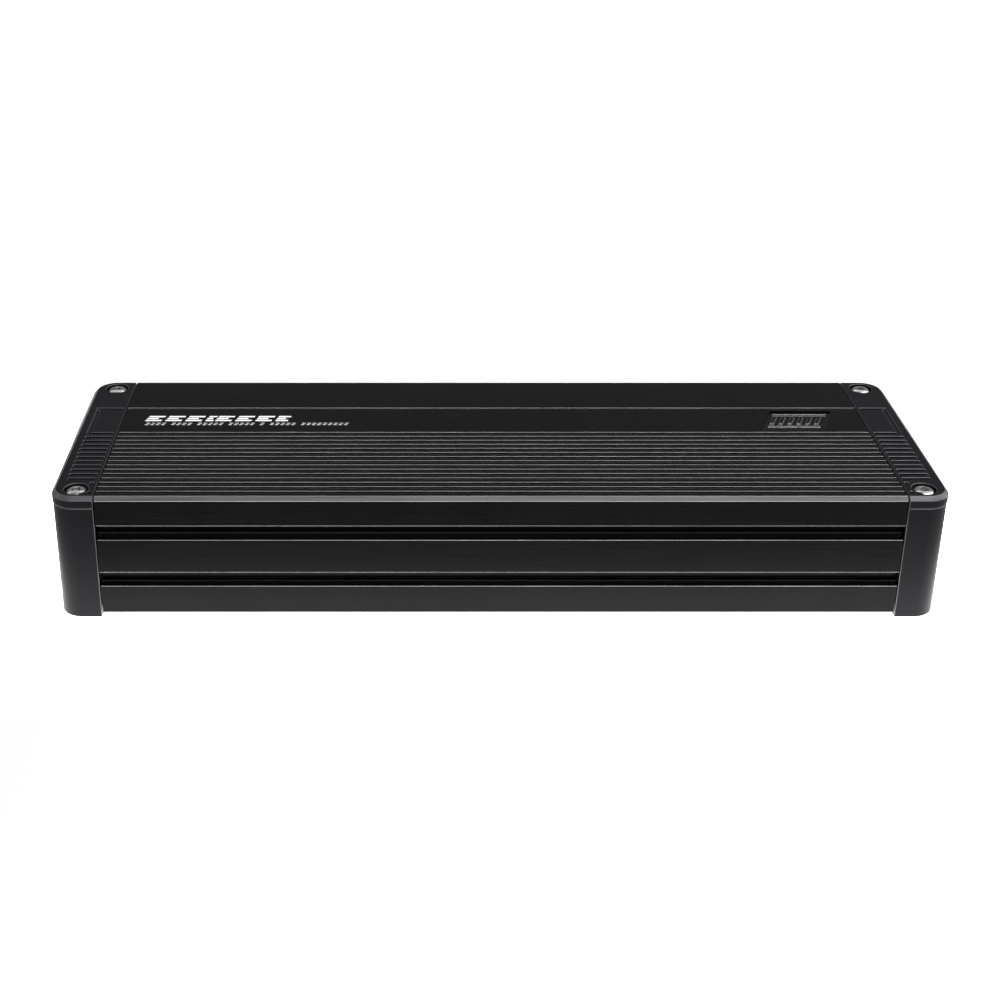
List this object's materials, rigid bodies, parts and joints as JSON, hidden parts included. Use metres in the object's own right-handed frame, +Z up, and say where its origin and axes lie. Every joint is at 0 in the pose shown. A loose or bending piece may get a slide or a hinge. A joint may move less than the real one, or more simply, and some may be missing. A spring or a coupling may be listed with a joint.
{
  "type": "car amplifier",
  "caption": "Slim black car audio amplifier: a finned aluminium housing between moulded end caps with screwed lids, wire terminals and fuses at an end, inputs and controls at the other.",
  "frame": {"origin": "centre of the underside, on the surface that the end caps stand on", "axes": "+X along the housing to the power and speaker terminals, -Y out of the plain front face nearest the fins, +Z up"},
  "size_m": [0.3536, 0.115, 0.054],
  "materials": {
    "housing": "satin black anodised",
    "bottom_plate": "fine-textured black paint",
    "end_caps": "fine spark-eroded texture",
    "lid_screws": "bright stainless",
    "small_screws": "black zinc plated",
    "panels": "satin black paint",
    "connectors": "moulded black nylon",
    "plated_brass": "plated bright",
    "fuses": "translucent amber",
    "controls": "moulded",
    "switch_cans": "plain",
    "pots": "moulded blue",
    "light": "clear tinted",
    "board": "solder mask over glass laminate",
    "ferrite": "pressed ferrite",
    "windings": "enamelled copper wire",
    "capacitor_sleeves": "printed sleeve",
    "transistors": "moulded epoxy"
  },
  "bodies": {
    "amplifier": {"heat_sink": "housing", "bottom_plate": "bottom_plate", "end_cap_left": "end_caps", "end_cap_right": "end_caps", "lid_left": "end_caps", "lid_right": "end_caps", "lid_screw_front_left": "lid_screws", "lid_screw_front_right": "lid_screws", "lid_screw_rear_left": "lid_screws", "lid_screw_rear_right": "lid_screws", "cap_screw_front_left": "small_screws", "cap_screw_front_right": "small_screws", "cap_screw_rear_left": "small_screws", "cap_screw_rear_right": "small_screws", "plate_screw_front_left": "small_screws", "plate_screw_front_right": "small_screws", "plate_screw_rear_left": "small_screws", "plate_screw_rear_right": "small_screws", "power_panel": "panels", "signal_panel": "panels", "power_terminal_block": "connectors", "speaker_terminal_block": "connectors", "fuse_holder": "connectors", "input_jack_block": "connectors", "power_terminal_screw_ground": "plated_brass", "power_terminal_screw_remote": "plated_brass", "power_terminal_screw_battery": "plated_brass", "input_jack_sleeve_1": "plated_brass", "input_jack_sleeve_2": "plated_brass", "input_jack_sleeve_3": "plated_brass", "input_jack_sleeve_4": "plated_brass", "filter_switch_front_channels": "switch_cans", "filter_switch_rear_channels": "switch_cans", "clamp_bar_front": "switch_cans", "clamp_bar_rear": "switch_cans", "gain_pot_front_channels": "pots", "gain_pot_rear_channels": "pots", "crossover_pot_front_channels": "pots", "crossover_pot_rear_channels": "pots", "power_light": "light", "circuit_board": "board", "transformer_core": "ferrite", "transformer_coil": "windings", "output_coil_1": "windings", "output_coil_2": "windings", "supply_capacitor_1": "capacitor_sleeves", "supply_capacitor_2": "capacitor_sleeves", "supply_capacitor_3": "capacitor_sleeves", "power_transistor_front_left": "transistors", "power_transistor_front_right": "transistors", "power_transistor_rear_left": "transistors", "power_transistor_rear_right": "transistors"},
    "gain_knob_front_channels": {"gain_knob_front_channels": "controls"},
    "crossover_knob_front_channels": {"crossover_knob_front_channels": "controls"},
    "gain_knob_rear_channels": {"gain_knob_rear_channels": "controls"},
    "crossover_knob_rear_channels": {"crossover_knob_rear_channels": "controls"},
    "filter_slider_front_channels": {"filter_slider_front_channels": "controls"},
    "filter_slider_rear_channels": {"filter_slider_rear_channels": "controls"},
    "fuse_1": {"fuse_1": "fuses"},
    "fuse_2": {"fuse_2": "fuses"}
  },
  "joints": [
    {"name": "gain_knob_front_channels_turn", "type": "hinge", "parent": "amplifier", "child": "gain_knob_front_channels", "pos_m": [-0.163, -0.003, 0.0355], "axis": [-1, 0, 0], "range_deg": [-140, 140]},
    {"name": "crossover_knob_front_channels_turn", "type": "hinge", "parent": "amplifier", "child": "crossover_knob_front_channels", "pos_m": [-0.163, 0.0105, 0.0355], "axis": [-1, 0, 0], "range_deg": [-140, 140]},
    {"name": "gain_knob_rear_channels_turn", "type": "hinge", "parent": "amplifier", "child": "gain_knob_rear_channels", "pos_m": [-0.163, -0.003, 0.0225], "axis": [-1, 0, 0], "range_deg": [-140, 140]},
    {"name": "crossover_knob_rear_channels_turn", "type": "hinge", "parent": "amplifier", "child": "crossover_knob_rear_channels", "pos_m": [-0.163, 0.0105, 0.0225], "axis": [-1, 0, 0], "range_deg": [-140, 140]},
    {"name": "filter_slider_front_channels_slide", "type": "slide", "parent": "amplifier", "child": "filter_slider_front_channels", "axis": [0, 1, 0], "range_m": [-0.0022, 0.0022]},
    {"name": "filter_slider_rear_channels_slide", "type": "slide", "parent": "amplifier", "child": "filter_slider_rear_channels", "axis": [0, 1, 0], "range_m": [-0.0022, 0.0022]},
    {"name": "fuse_1_pull", "type": "slide", "parent": "amplifier", "child": "fuse_1", "axis": [1, 0, 0], "range_m": [0, 0.012]},
    {"name": "fuse_2_pull", "type": "slide", "parent": "amplifier", "child": "fuse_2", "axis": [1, 0, 0], "range_m": [0, 0.012]}
  ]
}
